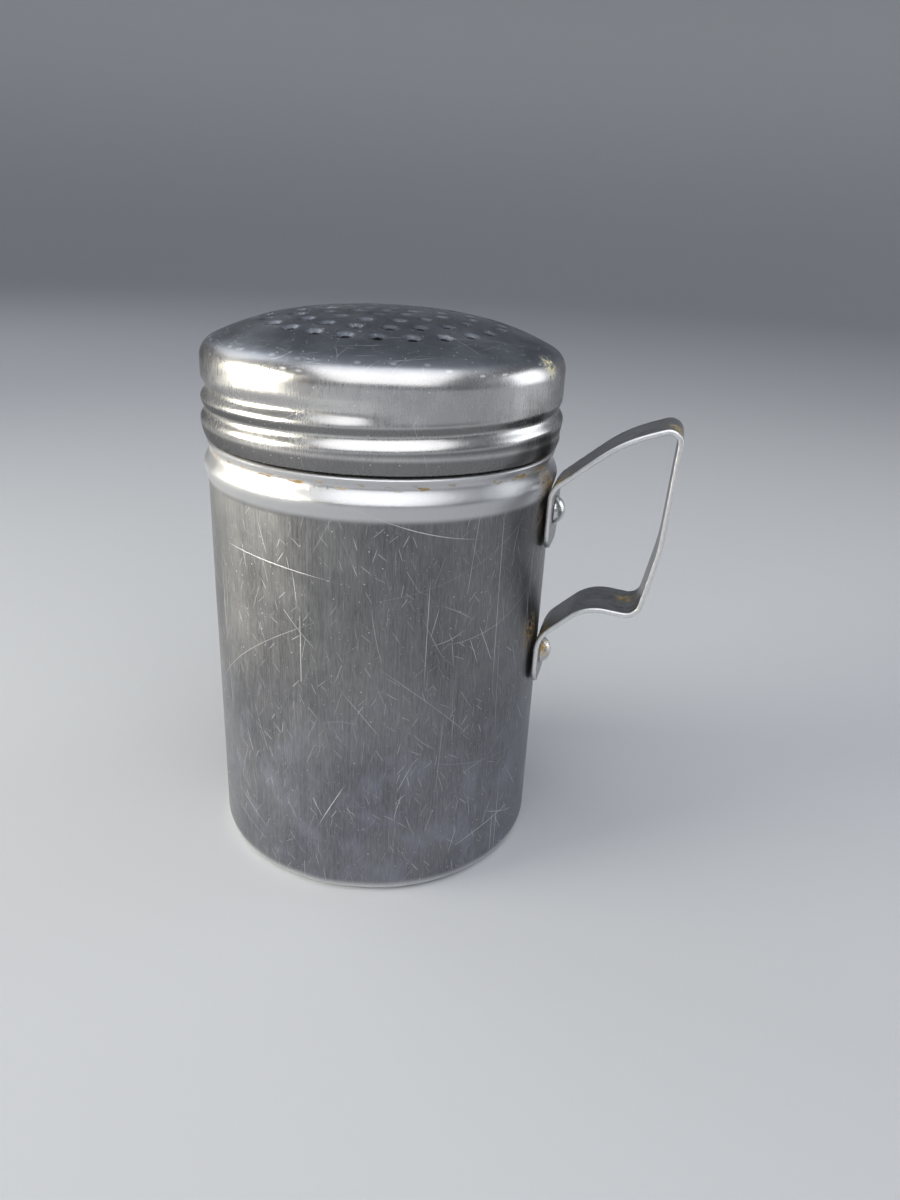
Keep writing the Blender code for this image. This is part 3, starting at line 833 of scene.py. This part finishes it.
def dome_mesh(boundary):
    """Flat (x, y) triangles inside a boundary ring, with round holes left open.

    Returns points, triangles, the dimples' depth at each point and each hole's rim as point numbers.
    """
    holes = hole_places()
    sides = 24
    radii = HOLE_RADIUS + (DIMPLE_RADIUS + 0.25 - HOLE_RADIUS) * np.array([0, 0.12, 0.3, 0.5, 0.72, 1.0])
    flat = [tuple(p) for p in boundary]
    count = len(boundary)
    edges = [(i, (i + 1) % count) for i in range(count)]
    for centre in holes:
        for k, radius in enumerate(radii):
            first = len(flat)
            for i in range(sides):
                a = math.tau * (i + 0.5 * (k % 2)) / sides
                flat.append((centre[0] + radius * math.cos(a), centre[1] + radius * math.sin(a)))
            if k == 0:
                edges += [(first + i, first + (i + 1) % sides) for i in range(sides)]
    spacing = 1.25
    for j in range(1, round(DOME_MESH_RADIUS / spacing)):
        ring = j * spacing
        steps = max(6, round(math.tau * ring / spacing))
        for i in range(steps):
            a = math.tau * (i + 0.5 * (j % 2)) / steps
            spot = np.array((ring * math.cos(a), ring * math.sin(a)))
            clear = np.hypot(*(holes - spot).T).min() > DIMPLE_RADIUS + 0.7
            if clear and ring < DOME_MESH_RADIUS - 0.6:
                flat.append(tuple(spot))
    found, _, triangles, *_ = delaunay_2d_cdt([Vector(p) for p in flat], edges, [], 0, 1e-5)
    found = np.array([tuple(p) for p in found])
    middles = found[np.array(triangles)].mean(1)
    away = np.hypot(middles[:, None, 0] - holes[None, :, 0], middles[:, None, 1] - holes[None, :, 1])
    triangles = [t for t, d in zip(triangles, away.min(1)) if d > HOLE_RADIUS * 0.99]
    away = np.hypot(found[:, None, 0] - holes[None, :, 0], found[:, None, 1] - holes[None, :, 1])
    depths = DIMPLE_DEPTH * rng.uniform(0.75, 1.2, len(holes))
    deepest = HOLE_RADIUS * 0.8
    fall = smooth((away - deepest) / (DIMPLE_RADIUS - deepest))
    dimple = (depths[None, :] * (1 - fall)).max(1)
    rims = []
    for centre in holes:
        distance = np.hypot(*(found - centre).T)
        rim = np.nonzero(distance < HOLE_RADIUS * 1.01)[0]
        turn = np.arctan2(found[rim, 1] - centre[1], found[rim, 0] - centre[0])
        rims.append(rim[np.argsort(turn)])
    return found, triangles, dimple, rims


def lid_rows():
    """(radii, heights) of the lid's outer rings, from its edge up to the dome's triangle mesh."""
    angle = np.linspace(0, math.tau, AROUND, endpoint=False)
    corner_end = 90 - math.degrees(DOME_EDGE_SLOPE)
    radii, heights = [], []
    skirt = np.concatenate([np.arange(LID_EDGE_Z + 0.25, 98, 0.25), np.arange(98, RIM_Z, 0.5)])
    for z in skirt:
        radii.append(lid_radius(angle, np.full(AROUND, z)))
        heights.append(np.full(AROUND, z))
    uneven = 0.10 * np.sin(4 * angle + 1.0) + 0.07 * np.sin(9 * angle)
    corner = arc_points((BAND_RADIUS - RIM_CORNER, RIM_Z), RIM_CORNER, 0, corner_end, 12)
    base = lid_radius(angle, np.full(AROUND, RIM_Z)) - BAND_RADIUS
    for r, z in corner:
        up = (z - RIM_Z) / RIM_CORNER
        radii.append(r + base * (1 - up) + 0.5 * uneven * up * (1 - up))
        heights.append(z + uneven * up * (1 - up) - TOP_INSET)
    for r in np.linspace(corner[-1][0], DOME_MESH_RADIUS, 7)[1:]:
        radii.append(np.full(AROUND, r))
        heights.append(dome_height(r * np.cos(angle), r * np.sin(angle)) - TOP_INSET)
    return np.array(radii), np.array(heights)


def make_lid():
    """The lid in one closed skin, with its inside and the walls of its holes."""
    radii, heights = lid_rows()
    outer = ring_rows(radii, heights, AROUND)
    ahead = np.gradient(outer[..., 2], axis=0)
    outward = np.gradient(np.hypot(outer[..., 0], outer[..., 1]), axis=0)
    length = np.hypot(ahead, outward)
    inner_r = radii - SHEET * ahead / length
    inner_z = heights + SHEET * outward / length
    inner = ring_rows(inner_r, inner_z, AROUND)
    edge_r, edge_z = radii[0], heights[0]
    lip_shape = ((0.1, 0.7), (0.35, 1.0), (0.65, 1.0), (0.9, 0.7))
    lip = [ring_rows(edge_r - SHEET * a, edge_z - 0.25 * b, AROUND) for a, b in lip_shape]
    # Down the inside, round the raw edge and up the outside
    skirt = np.concatenate([inner[::-1], np.array(lip)[::-1], outer])
    points = skirt.reshape(-1, 3).tolist()
    faces = ring_faces(len(skirt), AROUND)

    top_ring = [(len(skirt) - 1) * AROUND + i for i in range(AROUND)]
    under_ring = list(range(AROUND))
    flat, triangles, dimple, rims = dome_mesh(outer[-1][:, :2])
    radius = np.hypot(*flat.T)
    inward, downward = dome_inward(radius)
    outer_number, inner_number = {}, {}
    for i in range(len(flat)):
        if i < AROUND:
            outer_number[i], inner_number[i] = top_ring[i], under_ring[i]
            continue
        x, y = flat[i]
        outer_number[i] = len(points)
        points.append((x, y, dome_height(x, y) - TOP_INSET - dimple[i]))
        inner_number[i] = len(points)
        shrink = 1 - inward[i] / max(radius[i], 0.1)
        points.append((x * shrink, y * shrink, points[-1][2] - downward[i]))
    for t in triangles:
        faces.append(tuple(outer_number[i] for i in t))
        faces.append(tuple(inner_number[i] for i in reversed(t)))
    for rim in rims:
        for a, b in zip(rim, np.roll(rim, -1)):
            faces.append((outer_number[a], outer_number[b], inner_number[b], inner_number[a]))
    add_piece("lid_skin", points, faces, [lid_metal()], "lid", ["lid", "lid_hem"], 50)


# ---------------------------------------------------------------- handle and rivets


def rounded_path(corners, step_degrees):
    """A flat path through (x, z, bend radius) corners, with each bend as an arc."""
    path = [(corners[0][0], corners[0][1])]
    for before, corner, after in zip(corners, corners[1:], corners[2:]):
        x, z, radius = corner
        into = math.atan2(z - before[1], x - before[0])
        out = math.atan2(after[1] - z, after[0] - x)
        turn = math.remainder(out - into, math.tau)
        back = radius * math.tan(abs(turn) / 2)
        side = math.copysign(1, turn)
        start = (x - back * math.cos(into), z - back * math.sin(into))
        centre = (start[0] - side * radius * math.sin(into), start[1] + side * radius * math.cos(into))
        steps = max(4, math.ceil(abs(turn) / math.radians(step_degrees)))
        for i in range(steps + 1):
            heading = into + turn * i / steps
            along, up = side * radius * math.sin(heading), side * radius * math.cos(heading)
            path.append((centre[0] + along, centre[1] - up))
    path.append((corners[-1][0], corners[-1][1]))
    return path


def resampled(path, step):
    """The path with points at even distances, each point's distance from the start, and the length."""
    path = np.array(path)
    run = np.concatenate([[0], np.cumsum(np.hypot(*np.diff(path, axis=0).T))])
    count = round(run[-1] / step)
    at = np.linspace(0, run[-1], count + 1)
    return np.stack([np.interp(at, run, path[:, 0]), np.interp(at, run, path[:, 1])], -1), at, run[-1]


def make_handle():
    """The strip: a rounded rectangle carried along its centre line, with rounded tab ends."""
    path, run, whole = resampled(rounded_path(HANDLE_PATH, 5), 0.5)
    step = np.gradient(path, axis=0)
    step /= np.hypot(*step.T)[:, None]
    normal = np.stack([-step[:, 1], step[:, 0]], -1)
    half_t, edge = STRIP_THICK / 2, 0.28
    points, sections = [], []
    across = np.linspace(-1, 1, 13)
    for (x, z), (nx, nz), at in zip(path, normal, run):
        depth = min(at, whole - at)
        half = STRIP_WIDTH / 2
        if depth < TAB_CORNER:
            half -= TAB_CORNER - math.sqrt(TAB_CORNER**2 - (TAB_CORNER - depth) ** 2)
        flat = half - edge
        thin = min(1.0, 0.5 + depth / 0.6)
        section = [(flat * s, half_t) for s in across]
        rounding = [(flat + edge * math.sin(a), half_t - edge + edge * math.cos(a)) for a in (0.6, 1.2)]
        section += rounding
        section += [(half, 0.0)]
        section += [(y, -t) for y, t in reversed(rounding)]
        section += [(flat * s, -half_t) for s in across[::-1]]
        section += [(-y, -t) for y, t in rounding]
        section += [(-half, 0.0)]
        section += [(-y, t) for y, t in reversed(rounding)]
        sections.append(len(points))
        points += [(x + nx * t * thin, y, z + nz * t * thin) for y, t in section]
    count = len(points) // len(path)
    wide = len(across)
    faces, edge_faces = [], []
    for first in sections[:-1]:
        for j in range(count):
            k = (j + 1) % count
            face = (first + j, first + k, first + count + k, first + count + j)
            on_edge = wide - 1 <= j < wide + 5 or j >= 2 * wide + 4
            (edge_faces if on_edge else faces).append(face)
    caps = [tuple(reversed(range(count))), tuple(sections[-1] + j for j in range(count))]
    shell = faces + edge_faces + caps
    metals = [strip_metal(), edge_metal()]
    made = add_piece("handle_skin", points, shell, metals, "cup", ["handle"])
    for polygon in made.data.polygons[len(faces):]:
        polygon.material_index = 1


def make_rivet(name, height, metal):
    """A domed head with a thin flat rim, a shank and a flattened tail, turned about an axis along +X."""
    tab_face = TAB_X + STRIP_THICK / 2
    wall_face = CUP_RADIUS - CUP_WALL - 0.1
    rim = 0.12
    dome = (RIVET_HEAD_RADIUS**2 + RIVET_HEAD_HEIGHT**2) / (2 * RIVET_HEAD_HEIGHT)
    tail_face = wall_face - RIVET_TAIL_HEIGHT
    tail_middle = wall_face - RIVET_TAIL_HEIGHT / 2
    profile = [(0, tail_face), (RIVET_TAIL_RADIUS - 0.35, tail_face), (RIVET_TAIL_RADIUS, tail_middle)]
    profile += [(RIVET_TAIL_RADIUS - 0.1, wall_face), (RIVET_SHANK, wall_face)]
    profile += [(RIVET_SHANK, tab_face), (RIVET_HEAD_RADIUS - 0.15, tab_face)]
    for i in range(11):
        angle = math.radians(90 * i / 10)
        radius = RIVET_HEAD_RADIUS * math.cos(angle) if i < 10 else 0
        rise = math.sqrt(dome**2 - radius**2) - dome + RIVET_HEAD_HEIGHT
        profile.append((radius, tab_face + rim + rise * (1 - rim / RIVET_HEAD_HEIGHT)))
    around = 48
    turn = np.linspace(0, math.tau, around, endpoint=False)
    points, faces = [(profile[0][1], 0, height)], []
    for radius, x in profile[1:-1]:
        points += [(x, radius * math.sin(a), height + radius * math.cos(a)) for a in turn]
    points.append((profile[-1][1], 0, height))
    rings = len(profile) - 2
    for j in range(rings - 1):
        for i in range(around):
            n = (i + 1) % around
            a, b = 1 + j * around, 1 + (j + 1) * around
            faces.append((a + i, b + i, b + n, a + n))
    last_ring = 1 + (rings - 1) * around
    faces += fan(0, list(range(1, around + 1)))
    faces += fan(len(points) - 1, list(range(last_ring, last_ring + around)), turned=True)
    add_piece(f"{name}_skin", points, faces, [metal], "cup", [name])


set_camera()
set_floor()
set_light()
make_cup()
make_lid()
make_handle()
rivet_finish = rivet_metal()
for rivet_name, rivet_height in RIVET_HEIGHTS.items():
    make_rivet(rivet_name, rivet_height, rivet_finish)
